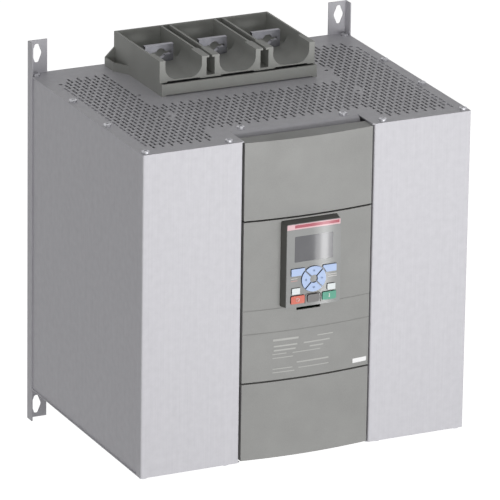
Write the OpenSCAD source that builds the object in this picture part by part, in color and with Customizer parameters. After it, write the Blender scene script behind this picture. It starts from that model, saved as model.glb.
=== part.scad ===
// Soft starter for a three-phase motor, in a folded sheet-steel case hung on a wall by four ears.
// Millimetres, +Z up, front towards -Y. The origin lies on the wall, midway between the four keyholes.

/* [Case] */
// Width over the folded sides
body_w = 435; // [430:1:450]
// Depth from the wall to the face of the metal front panels
body_d = 341.5; // [338:0.5:346]
// Height of the case without its ears
body_h = 409; // [406:1:416]
// Thickness of the case sheet
sheet_t = 1.5; // [1.2:0.1:1.8]
// Depth of the side flanges on the back tray
tray_flange = 14; // [10:0.5:18]
// Depth of the folded edges of the front panels
panel_flange = 12.5; // [10:0.5:14]
// Width of the flanges that carry the top and bottom sheets
lap_w = 16; // [14:0.5:20]
// Gap between those flanges and the folded ends of the front panels
lap_gap = 0.3; // [0.2:0.05:0.5]
// Radius of the long folds on the front panels
fold_r = 2.2; // [2:0.1:3]

/* [Ears] */
// Width of an ear
ear_w = 25.5; // [23:0.5:30]
// Height of an ear beyond the case
ear_h = 42.5; // [40:0.5:48]
// Distance of the keyholes from the case side
key_edge = 11.5; // [11:0.1:12.5]
// Distance of the keyholes beyond the case
key_out = 25.5; // [24:0.1:27]
// Diameter of the round middle of a keyhole
key_d = 13; // [11:0.5:14]
// Width of the round ends above and below it
key_end_w = 6.6; // [5.6:0.1:7]
// Length of the whole keyhole
key_slot_l = 24; // [22:0.5:26]

/* [Vent sheets] */
// Thickness of the vent sheets
vent_t = 1.2; // [1:0.1:1.5]
// Width of a vent slot
vent_w = 3; // [2.4:0.1:3.4]
// Length of a vent slot
vent_l = 16.5; // [13:0.5:17]
// Spacing of the slots across the sheet
vent_px = 12; // [12:0.1:12.2]
// Spacing of the slots along the depth
vent_py = 20.48; // [20:0.02:20.6]
// Depth of the middle of the first row of slots
vent_y = 46.7; // [46:0.1:48]
// Sideways shift of the slot field from the middle of the sheet
vent_shift = 2; // [0:0.5:3]
// Distance of the slot field from the case side
vent_edge = 16; // [15.5:0.1:17]
// Width of the plain field beside the terminal shroud
plain_side = 25; // [23:0.5:26]
// Width of the plain field beside the front notch
plain_notch = 25.7; // [24:0.1:27]
// Distance of the notch ends from the inner edges of the front panels
notch_gap = 2.1; // [1.5:0.1:2.5]
// Distance from the face of the front panels to the fold of the notch
notch_d = 41.5; // [38:0.5:41.5]
// Radius of the fold on the rear edge of the notch
notch_r = 9.5; // [7:0.5:10]
// Height of the folded lip behind the covers
lip_h = 20; // [16:0.5:22]
// Distance of the middle of the stiffener bars behind the fold
stiff_gap = 6.5; // [6:0.5:9]
// Depth of a stiffener bar
stiff_w = 12; // [10:0.5:12]
// Thickness of a stiffener bar
stiff_t = 8; // [5:0.5:9]

/* [Case screws] */
// Thread diameter of the case screws
screw_d = 4; // [3.5:0.1:4.5]
// Head diameter of the case screws
screw_head = 9.5; // [8:0.1:10]
// Head height of the case screws
screw_head_h = 3.2; // [2.8:0.1:3.6]
// Width of the arms of the cross recess
recess_w = 1.2; // [1:0.1:1.5]
// Span of the cross recess
recess_l = 5.5; // [4.5:0.1:6]
// Depth of the cross recess
recess_d = 1.6; // [1.2:0.1:2]
// Distance of the side screws from the case side
screw_edge = 7; // [6:0.5:7.5]
// Distance of the inner screws from the inner edges of the front panels
inner_screw = 14.6; // [12:0.1:20]
// Distance from the middle to the screws of the stiffener bars
stiff_screw_x = 68; // [60:0.5:74]
// Diameter of the spare holes in the vent sheets
spare_d = 5; // [4.5:0.1:5.5]

/* [Front panels and covers] */
// Distance from the middle to the inner edge of a front panel
panel_in = 87.4; // [87:0.1:89]
// Gap between the covers and the front panels
cover_gap = 2.7; // [2:0.1:3.2]
// Outward bow of the covers at their middle
cover_bow = 6; // [4:0.1:7]
// Wall thickness of the covers
cover_t = 2.5; // [2:0.1:3]
// Distance of the two cover seams from the middle
seam_z = 103.3; // [101.5:0.1:104]
// Width of the cover seams
seam_w = 2.2; // [1.6:0.1:2.6]
// Distance of the outer ends of the covers from the top or bottom of the case
cover_in = 2; // [1.7:0.1:3.5]
// Distance of the frame plate behind the face of the front panels
frame_back = 20; // [18.5:0.1:21]
// Thickness of the frame plate
frame_t = 2; // [1.5:0.1:3]
// Reach of the frame plate behind each front panel
frame_lap = 14; // [13:0.5:14]
// Depth of the folded sides of the frame plate
frame_fold = 24; // [20:0.5:26]
// Distance of the frame plate from the top or bottom of the case
frame_end = 30; // [26:1:36]
// Depth of the crease lines on the middle cover
crease_d = 0.7; // [0.4:0.1:1]
// Height of the crease just below the keypad
crease_a = -10.5; // [-11.5:0.1:-10]
// Height of the lower crease
crease_b = -40.5; // [-45:0.5:-36]

/* [Keypad] */
// Width of the keypad at its back
pad_w = 75.6; // [75:0.1:77]
// Height of the keypad at its back
pad_h = 109; // [108:0.1:109.6]
// Width of the keypad face
face_w = 71.8; // [71:0.1:73]
// Height of the keypad face
face_h = 106.2; // [105.5:0.1:107]
// Height of the middle of the keypad
pad_z = 45.5; // [45.4:0.1:45.8]
// Distance of the keypad seat before the face of the front panels
seat_out = 4.5; // [4.3:0.1:4.7]
// Depth of the keypad from its seat to its face
pad_d = 13.5; // [13.2:0.1:14]
// Thickness of the keypad face plate
face_t = 1.5; // [1.3:0.1:1.7]
// Width of the plug behind the keypad
plug_w = 58; // [50:0.5:60]
// Height of the plug behind the keypad
plug_h = 90; // [80:0.5:92]
// Width of the finger gap below the keypad
finger_w = 32; // [28:0.5:36]
// Height of the finger gap below the keypad
finger_h = 7; // [6.5:0.1:8]
// Gap round the keys
key_gap = 0.5; // [0.4:0.01:0.55]
// Height of the keys above the face
key_up = 1.6; // [1.2:0.05:1.8]
// Radius of the round key set
ring_r = 16; // [15.5:0.1:16.2]
// Gap between the round key set and the two soft keys
ring_gap = 1.8; // [1.75:0.05:2.2]
// Radius of the hub inside the round key set
hub_r = 4.4; // [4:0.1:5]
// Width of the display
lcd_w = 51; // [49:0.5:52]
// Height of the display
lcd_h = 32.6; // [31:0.1:33]

/* [Control part] */
// Width of the control board
board_w = 144; // [138:1:148]
// Reach of the control board above the middle
board_up = 92; // [88:1:96]
// Reach of the control board below the middle
board_down = 80; // [76:1:84]
// Distance of the board's pillars from its edges
pillar_in = 8; // [6:0.5:10]
// Width of the control terminals
block_w = 132; // [130:1:140]
// Height of the front row of control terminals
block_h = 32; // [30:1:34]
// Depth of the front row of control terminals
block_d = 15; // [14:0.5:16]
// Distance of the underside of the control terminals below the middle
block_low = 152; // [150:1:156]
// Spacing of the control terminals
terminal_p = 10; // [9:0.1:10.2]

/* [Terminal shrouds] */
// Width of a shroud
shroud_w = 209; // [208:0.5:212]
// Height of a shroud
shroud_h = 43; // [41:0.5:46]
// Distance of its rear wall from the wall plane
shroud_back = 6; // [5:0.5:8]
// Depth of the bay fronts
bay_front = 141; // [139:0.5:143]
// Depth of the front of the base rail
rail_front = 148; // [146:0.5:150]
// Height of the base rail
rail_h = 15; // [14:0.5:15.5]
// Height of the gap between the base rail and the vent sheet
rail_gap = 1.6; // [1:0.1:2]
// Length of the rail ends that rest on the vent sheet
rail_end = 6; // [4:0.5:10]
// Spacing of the three phases
phase_p = 72.5; // [72.3:0.1:73]
// Width of the mouth of a bay
mouth_w = 49; // [47:0.5:50]
// Corner radius at the bottom of a mouth
mouth_r = 16; // [12:0.5:18]
// Height of the bay floors
bay_floor = 18; // [17.5:0.5:19]
// Depth of the thick front of the bays
mouth_d = 33; // [30:0.5:36]
// Width of the front slots between the bays
slot_w = 11; // [10:0.5:12]
// Wall thickness of the shroud
shroud_t = 2.75; // [2.5:0.05:3]
// Width of a foot lug beyond the shroud
lug_w = 12.5; // [11.5:0.5:14]
// Height of a foot lug
lug_h = 11; // [10:0.5:13]
// Depth of the front of a foot lug, where it runs into the shroud
lug_front = 52; // [48:1:56]
// Height of the gusset behind a foot lug
gusset_h = 24; // [20:0.5:26]

/* [Power path] */
// Width of a terminal bar
bar_w = 38; // [34:0.5:39]
// Thickness of a terminal bar
bar_t = 6; // [5:0.5:8]
// Depth of the front face of the bars
bar_y = 70; // [69:0.5:72]
// Height of the bar ends beyond the case
bar_up = 39.5; // [37.5:0.5:41.5]
// Height of the bar holes beyond the case
bar_hole_up = 28.5; // [26.5:0.5:29.5]
// Sideways place of the bar holes
bar_hole_x = 2; // [0:0.5:4]
// Diameter of the bar holes
bar_hole_d = 13; // [12:0.5:13.5]
// Width of the slots beside the bar holes
bar_slot_w = 4.5; // [4:0.1:4.6]
// Length of a bar hole with its slots
bar_slot_l = 27; // [22:0.5:28]
// Thread diameter of the bolts that join bars, bypass units and thyristors
bus_bolt_d = 10; // [8:0.5:10]
// Height of those bolts
bus_z = 75; // [72:0.5:78]
// Width of a bypass unit
bypass_w = 60; // [56:1:64]
// Height of a bypass unit
bypass_h = 108; // [100:1:112]
// Width of a thyristor module
module_w = 58; // [54:1:62]
// Height of a thyristor module
module_h = 96; // [90:1:100]
// Depth of a thyristor module
module_d = 32; // [28:1:34]
// Depth of the bypass units' copper tabs behind the bars
tab_d = 24; // [20:1:26]
// Width of the copper tabs on the bypass units and thyristor modules
tab_w = 30; // [26:1:34]
// Width of a current transformer
ct_w = 66; // [62:1:70]
// Height of a current transformer
ct_h = 32; // [28:1:36]
// Distance of the current transformers below the middle
ct_z = 160; // [158:1:164]
// Distance of a transformer's front before the load bar
ct_front = 26; // [20:1:28]
// Distance of a transformer's rear behind the face of the load bar
ct_back = 40; // [36:1:42]
// Width of the heat sinks
sink_w = 66; // [60:1:70]
// Height of the heat sinks
sink_h = 220; // [210:1:225]
// Depth of the heat sinks
sink_d = 110; // [100:1:112]
// Thickness of the heat sink fins
fin_t = 2.5; // [2:0.1:3]
// Thickness of the base of a heat sink
sink_base = 18; // [15:1:20]
// Height of the upper support rail
brace_w = 30; // [26:1:34]
// Reach of the lower support rail below the heat sinks
brace_drop = 25; // [20:1:28]
// Lap of the lower support rail over the heat sinks
brace_lap = 15; // [12:1:20]
// Thickness of the support rails
brace_t = 10; // [8:0.5:12]
// Fan size
fan_s = 108; // [104:1:109]
// Fan thickness
fan_h = 38; // [32:1:38]
// Fan axle diameter
axle_d = 6; // [5:0.5:8]
// Radial clearance of the fan bearing
axle_gap = 0.05; // [0.02:0.01:0.1]

/* [Hidden] */
$fn = 48;
hw = body_w / 2;
hh = body_h / 2;
t = sheet_t;
lap_z = hh - vent_t;
mount_w = body_w - 2 * key_edge;
mount_h = body_h + 2 * key_out;
bay_w = shroud_w - 2 * phase_p - 2 * shroud_t;
plain_rear = shroud_w / 2 + plain_side;
notch_half = panel_in - notch_gap;
plain_front = notch_half + plain_notch;
notch_y = body_d - notch_d;
stiff_y = notch_y - stiff_gap;
inner_screw_x = panel_in + inner_screw;
frame_y = body_d - frame_back;
pad_seat = body_d + seat_out;
pad_front = pad_seat + pad_d;
cover_end = hh - cover_in;
bar_top = hh + bar_up;
bar_hole_z = hh + bar_hole_up;
vent_cols = 2 * floor((hw - vent_edge) / (vent_px / 2) + 0.5);
vent_rows = floor((body_d - vent_y) / vent_py);
eps = 0.01;
cover_half = panel_in - cover_gap;
cover_front = body_d + cover_bow;
cover_r = (cover_half * cover_half + cover_bow * cover_bow) / (2 * cover_bow);
hole_d = screw_d + 0.2;
screw_x = hw - screw_edge;
screw_y = body_d - 8.5;
rows = [11, 0.357 * body_d, 0.653 * body_d, screw_y];
top_screws = concat(
    [for (x = [-screw_x, screw_x], y = rows) [x, -y]],
    [for (x = [-inner_screw_x, inner_screw_x]) [x, -screw_y]],
    [for (x = [-stiff_screw_x, stiff_screw_x]) [x, -stiff_y]]);
spare_x = plain_rear - 3;
spares = [[spare_x, -rail_front + 18], [spare_x, -rail_front - 69.5], [hw - 20, -vent_y - 8.3]];
module_back = bar_y + 10;
sink_back = module_back + module_d;
sink_front = sink_back + sink_d;
bar_in = bus_z - 19;
tab_back = bar_y - bar_t - tab_d;
bolt_l = module_back - tab_back;
brace_low = -sink_h / 2 - brace_drop;
brace_high = -sink_h / 2 + brace_lap;
fan_top = -sink_h / 2 - 2;
fan_y = sink_front - fan_s / 2;
fan_x = fan_s / 2 + 1;
face_back = pad_front - face_t;
board_y = pad_seat + 2.5;
ring_z = pad_z - 19.1;
lcd_z = pad_z + 20.6;

// Box from its low corner to its high corner.
module box(a, b) {
    translate(a) cube(b - a);
}

// Rectangle with round corners, centred.
module rrect(w, h, r) {
    square([w - 2 * r, h], center = true);
    square([w, h - 2 * r], center = true);
    for (x = [-1, 1], y = [-1, 1]) translate([x * (w / 2 - r), y * (h / 2 - r)]) circle(r = r);
}

// Turns a drawing in X and Z into a plate from depth y0 to depth y1 in front of the wall.
module plate(y0, y1) {
    translate([0, -y0, 0]) rotate([90, 0, 0]) linear_extrude(y1 - y0) children();
}

// Keyhole of an ear, drawn in X and Z: a round middle that narrows to a round end above and below.
module ear_hole() {
    end = (key_slot_l - key_end_w) / 2;
    circle(d = key_d);
    for (s = [-1, 1]) {
        translate([0, s * end]) circle(d = key_end_w);
        polygon([[-key_end_w / 2, s * end], [key_end_w / 2, s * end],
            [0.47 * key_d, s * 0.17 * key_d], [-0.47 * key_d, s * 0.17 * key_d]]);
    }
}

// Back sheet with four ears and two forward flanges over its whole height.
module back_tray() color([0.56, 0.56, 0.58]) {
    difference() {
        union() {
            box([-hw, -t, -hh], [hw, 0, hh]);
            for (s = [-1, 1]) {
                translate([s * (hw - ear_w / 2), -t / 2, 0])
                    cube([ear_w, t, body_h + 2 * ear_h], center = true);
                translate([s * (hw - t / 2), -tray_flange / 2, 0])
                    cube([t, tray_flange, body_h + 2 * ear_h], center = true);
            }
        }
        for (x = [-1, 1], z = [-1, 1]) translate([x * mount_w / 2, 0, z * mount_h / 2])
            plate(-1, t + 1) ear_hole();
    }
}

// Side sheet with inward flanges above and below; s is -1 on the left and 1 on the right.
module side_wall(s) color([0.56, 0.56, 0.58]) {
    difference() {
        union() {
            translate([s * (hw - 1.5 * t), -body_d / 2, 0])
                cube([t, body_d - 2 * t, body_h - 2 * vent_t], center = true);
            for (z = [-1, 1])
                translate([s * (hw - 2 * t - lap_w / 2), -(body_d - panel_flange) / 2, z * (lap_z - t / 2)])
                    cube([lap_w + t, body_d - panel_flange - 12, t], center = true);
        }
        for (y = rows, z = [-1, 1]) translate([s * screw_x, -y, z * hh])
            cylinder(d = hole_d, h = 40, center = true);
    }
}

// True where the vent field has a slot and not plain sheet or a spare hole.
function vent_here(x, y) =
    y > -(screw_y - 18)
    && (abs(x) > plain_rear || y < -(rail_front + 26))
    && (abs(x) > plain_front || y > -(stiff_y - 19))
    && len([for (h = spares) if (abs(abs(x) - h[0]) < 6 && abs(y - h[1]) < vent_l / 2 + 3.5) 1]) == 0;

// One slot with round ends along the depth.
module vent(x, y) {
    translate([x, y]) {
        square([vent_w, vent_l - vent_w], center = true);
        for (s = [-1, 1]) translate([0, s * (vent_l - vent_w) / 2]) circle(d = vent_w);
    }
}

// Top sheet: staggered vent slots, a notch with a folded lip, and openings for the terminal bars.
module vent_sheet() {
    translate([0, 0, hh - vent_t]) linear_extrude(vent_t) difference() {
        translate([-hw, -(body_d - t)]) square([body_w, body_d - 2 * t]);
        for (s = [-1, 1]) translate([s * hw, 0])
            square([2 * (t + lap_gap), 2 * (tray_flange + lap_gap)], center = true);
        translate([-notch_half, -body_d - 5]) square([2 * notch_half, body_d + 5 - notch_y]);
        for (i = [0 : vent_cols - 1], k = [0 : vent_rows - 1]) {
            x = vent_shift + (i - (vent_cols - 1) / 2) * vent_px / 2;
            y = -vent_y - (k + (i % 2 == 0 ? 0.5 : 0)) * vent_py;
            if (vent_here(x, y)) vent(x, y);
        }
        for (i = [-1 : 1]) translate([i * phase_p, -bar_y + bar_t / 2])
            square([bar_w + 8, bar_t + 8], center = true);
        for (p = top_screws) translate(p) circle(d = hole_d + 0.4);
        for (p = spares, x = [-1, 1]) translate([x * p[0], p[1]]) circle(d = spare_d);
    }
    lip();
}

// Lip that folds down along the rear edge of the notch.
module lip() {
    translate([-notch_half + 1, 0, 0]) rotate([90, 0, 90]) linear_extrude(2 * notch_half - 2) {
        difference() {
            intersection() {
                translate([-notch_y, hh - notch_r]) circle(r = notch_r);
                translate([-notch_y - notch_r, hh - notch_r]) square(notch_r + eps);
            }
            translate([-notch_y, hh - notch_r]) circle(r = notch_r - vent_t);
        }
        translate([-notch_y - notch_r, hh - lip_h]) square([vent_t, lip_h - notch_r + eps]);
    }
}

module top_sheet() color([0.56, 0.56, 0.58]) vent_sheet();

module bottom_sheet() color([0.56, 0.56, 0.58]) mirror([0, 0, 1]) vent_sheet();

// Metal front panel: a face with folded edges on all four sides.
module front_panel(s) color([0.84, 0.84, 0.85]) {
    w = hw - panel_in;
    mid = s * (panel_in + w / 2);
    difference() {
        union() {
            translate([mid, -body_d + fold_r + t, -hh]) linear_extrude(body_h) difference() {
                union() {
                    square([w, 2 * t], center = true);
                    translate([0, -(fold_r + t) / 2]) square([w - 2 * fold_r, fold_r + t], center = true);
                    for (x = [-1, 1]) translate([x * (w / 2 - fold_r), -t]) circle(r = fold_r);
                }
                translate([-w / 2 + t, -fold_r]) square([w - 2 * t, 20]);
            }
            box([s > 0 ? hw - t : -hw, -body_d + fold_r + t, -hh],
                [s > 0 ? hw : -hw + t, -body_d + panel_flange, hh]);
            box([s > 0 ? panel_in : -panel_in - t, -body_d + fold_r + t, -hh],
                [s > 0 ? panel_in + t : -panel_in, -frame_y, hh]);
            for (z = [-1, 1])
                translate([mid - s * (t + lap_gap) / 2, -body_d + t + 7.5, z * (lap_z - t / 2)])
                    cube([w - 3 * t - lap_gap, 17, t], center = true);
        }
        for (z = [-1, 1], x = [inner_screw_x, screw_x]) translate([s * x, -screw_y, z * hh])
            cylinder(d = hole_d, h = 40, center = true);
        for (z = [-1, 1]) translate([mid, -body_d + t + 25, z * (lap_z + 5)])
            cube([w + 10, 50, 10 + eps], center = true);
    }
}

// Bar below the vent sheet behind the notch, tapped for two screws.
module stiffener(s) color([0.5, 0.5, 0.52]) {
    difference() {
        translate([0, -stiff_y, s * (lap_z - stiff_t / 2)])
            cube([2 * notch_half - 10.6, stiff_w, stiff_t], center = true);
        for (x = [-stiff_screw_x, stiff_screw_x]) translate([x, -stiff_y, s * hh])
            cylinder(d = hole_d, h = 40, center = true);
    }
}

// Pan-head screws of the top and bottom sheets, each with a cross recess.
module case_screws() color([0.75, 0.75, 0.77]) {
    for (z = [-1, 1], p = top_screws) translate([p[0], p[1], z * hh]) mirror([0, 0, z < 0 ? 1 : 0]) {
        difference() {
            rotate_extrude() intersection() {
                translate([0, -14]) circle(r = 14 + screw_head_h);
                square([screw_head / 2, screw_head_h]);
            }
            for (a = [30, 120]) rotate(a) translate([0, 0, screw_head_h])
                cube([recess_l, recess_w, 2 * recess_d], center = true);
        }
        translate([0, 0, -8]) cylinder(d = screw_d, h = 8 + eps);
    }
}

// Plate behind the covers; its folded sides reach back to the front panels' inner edges.
module cover_frame() color([0.5, 0.5, 0.52]) {
    w = panel_in + frame_lap;
    difference() {
        union() {
            box([-w, -frame_y, -hh + frame_end], [w, -frame_y + frame_t, hh - frame_end]);
            for (s = [-1, 1]) translate([s * (w - frame_t / 2), -frame_y + frame_fold / 2, 0])
                cube([frame_t, frame_fold, body_h - 2 * frame_end], center = true);
        }
        for (z = [-150, 150]) box([-50, -frame_y - 5, z - 14], [50, -frame_y + 5, z + 14]);
    }
}

// Outline of the covers seen from above, drawn in by the given amount.
module cover_plan(inset) {
    intersection() {
        translate([0, cover_r - cover_front]) circle(r = cover_r - inset, $fn = 180);
        translate([-cover_half + inset, -cover_front - 5])
            square([2 * (cover_half - inset), cover_front + 5 - frame_y]);
    }
}

// Bowed shell from height z0 to height z1 with a wall at each end, open at the back.
module cover_shell(z0, z1) {
    difference() {
        translate([0, 0, z0]) linear_extrude(z1 - z0) cover_plan(0);
        translate([0, eps, z0 + cover_t]) linear_extrude(z1 - z0 - 2 * cover_t) cover_plan(cover_t);
    }
}

// Two ribs that stiffen a cover from inside.
module cover_ribs(z0, z1) {
    for (x = [-30, 30]) intersection() {
        box([x - 0.9, -cover_front + cover_t - 1, z0 + 8], [x + 0.9, -frame_y - 8, z1 - 8]);
        translate([0, 0, z0]) linear_extrude(z1 - z0) cover_plan(cover_t - 0.5);
    }
}

module cover_upper() color([0.63, 0.63, 0.61]) {
    cover_shell(seam_z + seam_w / 2, cover_end);
    cover_ribs(seam_z + seam_w / 2, cover_end);
}

module cover_lower() color([0.63, 0.63, 0.61]) {
    cover_shell(-cover_end, -seam_z - seam_w / 2);
}

// Ring cut that follows the bow of the cover.
module crease(z) {
    c = crease_d;
    translate([0, cover_r - cover_front, z]) rotate_extrude($fn = 180)
        translate([cover_r, 0]) polygon([[-c, 0], [c, -2 * c], [c, 2 * c]]);
}

// Middle cover with the seat of the keypad, a finger gap below it and two creases.
module cover_middle() color([0.63, 0.63, 0.61]) {
    difference() {
        union() {
            cover_shell(-seam_z + seam_w / 2, seam_z - seam_w / 2);
            translate([0, -pad_seat + 2.5, pad_z]) cube([pad_w + 6, 5, pad_h + 4], center = true);
        }
        translate([0, -pad_seat - 5, pad_z]) cube([pad_w + 1, 10, pad_h + 1], center = true);
        translate([0, -pad_seat, pad_z]) cube([plug_w + 2, 30, plug_h + 2], center = true);
        translate([0, -pad_seat, pad_z - (pad_h + finger_h) / 2])
            cube([finger_w, 24, finger_h + eps], center = true);
        crease(crease_a);
        crease(crease_b);
    }
}

// Foot lug seen from above, drawn in by the given amount; its front end runs into the shroud's side.
module lug_plan(inset) {
    side = shroud_w / 2;
    outer = side + lug_w - inset;
    rear = -shroud_back - inset;
    polygon([[side - 1, rear], [outer, rear], [outer, -lug_front + 20 + inset / 2],
        [side - 1, -lug_front + 2 * inset]]);
}

// Foot lug on the right of a shroud: a hollow foot with a screw hole and a gusset behind it.
module foot_lug() {
    side = shroud_w / 2;
    difference() {
        translate([0, 0, hh]) linear_extrude(lug_h) lug_plan(0);
        translate([0, 0, hh + 4]) linear_extrude(lug_h) intersection() {
            lug_plan(2);
            translate([side, -100]) square(100);
        }
        translate([side + lug_w / 2 - 1, -20, hh]) cylinder(d = 5, h = 60, center = true);
    }
    plate(shroud_back, shroud_back + shroud_t)
        polygon([[side - 1, hh], [side + lug_w, hh], [side + lug_w, hh + lug_h], [side - 1, hh + gusset_h]]);
}

// Three open bays on a base rail; the upper one is drawn and the lower one is its mirror image.
module shroud() {
    top = hh + shroud_h;
    floor_z = hh + bay_floor;
    slit = phase_p - bay_w - 2 * shroud_t;
    ends = shroud_w / 2 - rail_end;
    difference() {
        union() {
            box([-shroud_w / 2, -bay_front, hh], [shroud_w / 2, -shroud_back, top]);
            box([-shroud_w / 2, -rail_front, hh], [shroud_w / 2, -bay_front + 8, hh + rail_h]);
            for (s = [0, 1]) mirror([s, 0, 0]) foot_lug();
        }
        box([-ends, -rail_front - 1, hh - 1], [ends, -rail_front + shroud_t + 1, hh + rail_gap]);
        box([-shroud_w / 2 + shroud_t, -rail_front + shroud_t, hh - 1],
            [shroud_w / 2 - shroud_t, -shroud_back - shroud_t, floor_z - shroud_t]);
        for (i = [-1 : 1]) translate([i * phase_p, 0, 0]) {
            box([-bay_w / 2, -bar_y, floor_z], [bay_w / 2, -shroud_back - shroud_t, top + 1]);
            box([-bay_w / 2, -bay_front + mouth_d, floor_z + mouth_r], [bay_w / 2, -bar_y + 1, top + 1]);
            translate([0, 0, floor_z + shroud_h / 2]) {
                plate(bar_y - 1, bay_front - mouth_d) rrect(bay_w, shroud_h, mouth_r);
                plate(bay_front - mouth_d - 0.5, bay_front + 1) rrect(mouth_w, shroud_h, mouth_r);
            }
            box([-mouth_w / 2, -bay_front - 1, floor_z + mouth_r],
                [mouth_w / 2, -bay_front + mouth_d + 0.5, top + 1]);
            translate([0, -bar_y + bar_t / 2, floor_z]) cube([bar_w + 1, bar_t + 1, 20], center = true);
            box([-22, -bay_front - 1, hh + rail_h], [22, -bay_front + 5, hh + rail_h + 1.5]);
        }
        for (i = [-0.5, 0.5]) translate([i * phase_p, 0, 0]) {
            box([-slit / 2, -bay_front + mouth_d, floor_z], [slit / 2, -shroud_back - shroud_t, top + 1]);
            box([-slot_w / 2, -bay_front - 1, floor_z], [slot_w / 2, -bay_front + mouth_d - 2, top - 2.5]);
            box([-2, -bay_front - 1, top - 3], [2, -bay_front + mouth_d + 1, top + 1]);
        }
    }
}

module shroud_line() color([0.54, 0.54, 0.52]) shroud();

module shroud_load() color([0.54, 0.54, 0.52]) mirror([0, 0, 1]) shroud();

// Cutter for a bolt through the power path of phase i, above (s = 1) or below (s = -1) the middle.
module bus_hole(i, s) {
    translate([i * phase_p, 0, s * bus_z]) rotate([90, 0, 0])
        cylinder(d = bus_bolt_d + 1, h = 300, center = true);
}

// Hexagon bolts that clamp thyristor, bar and bypass unit together.
module bus_bolts() color([0.75, 0.75, 0.77]) {
    for (i = [-1 : 1], s = [-1, 1]) translate([i * phase_p, -module_back, s * bus_z]) rotate([90, 0, 0]) {
        cylinder(d = bus_bolt_d * 1.85, h = bus_bolt_d * 0.64, $fn = 6);
        translate([0, 0, -bolt_l]) cylinder(d = bus_bolt_d, h = bolt_l + eps);
    }
}

// Round hole with a slot to the left and right of it, as a cutter through a terminal bar.
module bar_hole() {
    rotate([90, 0, 0]) cylinder(d = bar_hole_d, h = 60, center = true);
    cube([bar_slot_l - bar_slot_w, 60, bar_slot_w], center = true);
    for (s = [-1, 1]) translate([s * (bar_slot_l - bar_slot_w) / 2, 0, 0]) rotate([90, 0, 0])
        cylinder(d = bar_slot_w, h = 60, center = true);
}

// Terminal bar of phase i, on the line side (s = 1) or the load side (s = -1).
module bar(i, s) color([0.72, 0.72, 0.75]) {
    difference() {
        translate([i * phase_p, -bar_y + bar_t / 2, s * (bar_top + bar_in) / 2])
            cube([bar_w, bar_t, bar_top - bar_in], center = true);
        translate([i * phase_p + bar_hole_x, -bar_y, s * bar_hole_z]) bar_hole();
        bus_hole(i, s);
    }
}

// Bypass contact unit of phase i, fixed to the back tray and lugged to both bars.
module bypass(i) color([0.2, 0.2, 0.21]) {
    w = bypass_w / 2;
    h = bypass_h / 2;
    difference() {
        translate([i * phase_p, 0, 0]) {
            box([-w, -tab_back - 8, -h], [w, -t, h]);
            box([-w - 4, -t - 5, -h - 6], [w + 4, -t, h + 6]);
            for (s = [-1, 1]) {
                translate([0, -(bar_y - bar_t + tab_back) / 2, s * bus_z])
                    cube([tab_w, bar_y - bar_t - tab_back, tab_w], center = true);
                translate([0, -tab_back - 4, s * (h + bus_z) / 2])
                    cube([tab_w, 8, bus_z - h], center = true);
            }
        }
        for (s = [-1, 1]) bus_hole(i, s);
    }
}

// Thyristor module of phase i on the back of its heat sink, lugged to both bars.
module thyristor(i) color([0.15, 0.15, 0.16]) {
    w = module_w / 2;
    h = module_h / 2;
    tab_h = bus_z + 13 - bar_in + 12;
    difference() {
        translate([i * phase_p, 0, 0]) {
            box([-w, -sink_back, -h], [w, -module_back, h]);
            box([-w - 2, -sink_back, -h - 6], [w + 2, -sink_back + 8, h + 6]);
            for (s = [-1, 1]) {
                translate([0, -(bar_y + module_back) / 2, s * (bus_z + 13 - tab_h / 2)])
                    cube([tab_w, module_back - bar_y, tab_h], center = true);
                translate([0, -module_back - 4, s * (h + 2)]) cube([tab_w, 8, 12], center = true);
            }
        }
        for (s = [-1, 1]) bus_hole(i, s);
    }
}

// Extruded heat sink of phase i: a thick base with fins towards the front.
module heat_sink(i) color([0.7, 0.7, 0.72]) {
    translate([i * phase_p, 0, -sink_h / 2]) linear_extrude(sink_h) {
        translate([-sink_w / 2, -sink_back - sink_base]) square([sink_w, sink_base]);
        for (k = [0 : 9]) translate([-sink_w / 2 + k * (sink_w - fin_t) / 9, -sink_front])
            square([fin_t, sink_d - sink_base + 1]);
    }
}

// Flat rail between the side walls that carries the heat sinks; the lower one holds the fans as well.
module support_rail(z0, z1) color([0.6, 0.6, 0.62]) {
    box([-hw + 2 * t, -sink_front - brace_t, z0], [hw - 2 * t, -sink_front, z1]);
}

// Current transformer round the load bar of phase i, on a foot on the back tray.
module transformer(i) color([0.13, 0.14, 0.16]) {
    low = -ct_z - ct_h / 2;
    high = -ct_z + ct_h / 2;
    translate([i * phase_p, 0, 0]) difference() {
        union() {
            plate_block(ct_w, bar_y - ct_back, bar_y + ct_front, low, high);
            box([-ct_w / 2, -bar_y + ct_back - 2, low - 6], [ct_w / 2, -t, high + 6]);
        }
        translate([0, -bar_y + bar_t / 2, -ct_z]) cube([bar_w + 2, bar_t + 2, 3 * ct_h], center = true);
    }
}

// Block with rounded upright edges, w wide, from depth y0 to y1 and height z0 to z1.
module plate_block(w, y0, y1, z0, z1) {
    translate([0, -(y0 + y1) / 2, z0]) linear_extrude(z1 - z0) rrect(w, y1 - y0, 8);
}

// Fan frame with a round duct, four struts and an axle; s is -1 on the left and 1 on the right.
module fan_frame(s) color([0.12, 0.12, 0.13]) {
    translate([s * fan_x, -fan_y, fan_top - fan_h]) {
        difference() {
            linear_extrude(fan_h) rrect(fan_s, fan_s, 6);
            translate([0, 0, -1]) cylinder(d = fan_s - 6, h = fan_h + 2);
            for (x = [-1, 1], y = [-1, 1]) translate([x * (fan_s / 2 - 6), y * (fan_s / 2 - 6), -1])
                cylinder(d = 4.5, h = fan_h + 2);
        }
        for (a = [45, 135]) rotate(a) translate([0, 0, 2]) cube([fan_s, 7, 4], center = true);
        cylinder(d = 38, h = 4);
        cylinder(d = axle_d, h = fan_h - 6);
    }
}

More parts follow.
